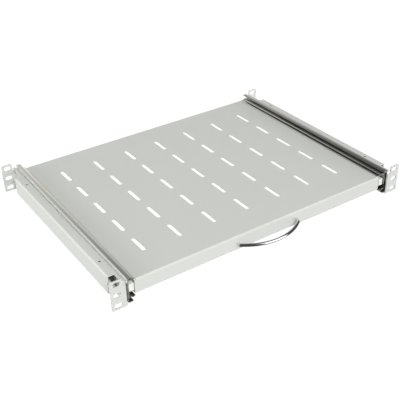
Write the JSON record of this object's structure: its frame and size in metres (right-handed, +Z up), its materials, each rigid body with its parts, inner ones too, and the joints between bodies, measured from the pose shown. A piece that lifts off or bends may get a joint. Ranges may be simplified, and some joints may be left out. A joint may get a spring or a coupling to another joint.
{
  "type": "sliding rack shelf",
  "caption": "Sliding shelf for a 19 inch rack: a slotted sheet-steel tray with a bow handle that pulls forward on telescopic ball rails between one-unit side brackets.",
  "frame": {"origin": "middle of the plane on which the front ears seat, half way across and at half the ears' height", "axes": "+X to the right seen from the front, +Y into the rack, +Z up"},
  "size_m": [0.4826, 0.3652, 0.0436],
  "materials": {
    "grey_powder_coat": "light grey powder coat, satin, fine texture",
    "zinc_steel": "zinc-plated rolled steel, satin",
    "cage_steel": "bare pressed steel strip",
    "bearing_steel": "polished bearing steel",
    "white_nylon": "natural white nylon, matt",
    "chrome_plate": "bright chrome plate",
    "zinc_fasteners": "bright zinc plate"
  },
  "bodies": {
    "brackets": {"left_bracket": "grey_powder_coat", "left_outer_rail": "zinc_steel", "left_rear_buffer": "white_nylon", "right_bracket": "grey_powder_coat", "right_outer_rail": "zinc_steel", "right_rear_buffer": "white_nylon"},
    "tray_body": {"tray": "grey_powder_coat", "handle": "chrome_plate", "handle_nuts": "zinc_fasteners", "left_inner_rail": "zinc_steel", "left_front_buffer": "white_nylon", "left_tray_screws": "zinc_fasteners", "right_inner_rail": "zinc_steel", "right_front_buffer": "white_nylon", "right_tray_screws": "zinc_fasteners"},
    "left_middle_body": {"left_middle_rail": "zinc_steel"},
    "left_outer_cage_body": {"left_outer_cage": "cage_steel", "left_outer_balls": "bearing_steel"},
    "left_inner_cage_body": {"left_inner_cage": "cage_steel", "left_inner_balls": "bearing_steel"},
    "right_middle_body": {"right_middle_rail": "zinc_steel"},
    "right_outer_cage_body": {"right_outer_cage": "cage_steel", "right_outer_balls": "bearing_steel"},
    "right_inner_cage_body": {"right_inner_cage": "cage_steel", "right_inner_balls": "bearing_steel"}
  },
  "joints": [
    {"name": "tray_slide", "type": "slide", "parent": "brackets", "child": "tray_body", "axis": [0, -1, 0], "range_m": [0, 0.34]},
    {"name": "left_middle_slide", "type": "slide", "parent": "brackets", "child": "left_middle_body", "axis": [0, -1, 0], "range_m": [0, 0.17]},
    {"name": "left_outer_cage_slide", "type": "slide", "parent": "brackets", "child": "left_outer_cage_body", "axis": [0, -1, 0], "range_m": [0, 0.085]},
    {"name": "left_inner_cage_slide", "type": "slide", "parent": "brackets", "child": "left_inner_cage_body", "axis": [0, -1, 0], "range_m": [0, 0.255]},
    {"name": "right_middle_slide", "type": "slide", "parent": "brackets", "child": "right_middle_body", "axis": [0, -1, 0], "range_m": [0, 0.17]},
    {"name": "right_outer_cage_slide", "type": "slide", "parent": "brackets", "child": "right_outer_cage_body", "axis": [0, -1, 0], "range_m": [0, 0.085]},
    {"name": "right_inner_cage_slide", "type": "slide", "parent": "brackets", "child": "right_inner_cage_body", "axis": [0, -1, 0], "range_m": [0, 0.255]}
  ],
  "couplings": [
    {"joint": "left_middle_slide", "follows": "tray_slide", "ratio": 0.5},
    {"joint": "left_outer_cage_slide", "follows": "tray_slide", "ratio": 0.25},
    {"joint": "left_inner_cage_slide", "follows": "tray_slide", "ratio": 0.75},
    {"joint": "right_middle_slide", "follows": "tray_slide", "ratio": 0.5},
    {"joint": "right_outer_cage_slide", "follows": "tray_slide", "ratio": 0.25},
    {"joint": "right_inner_cage_slide", "follows": "tray_slide", "ratio": 0.75}
  ]
}
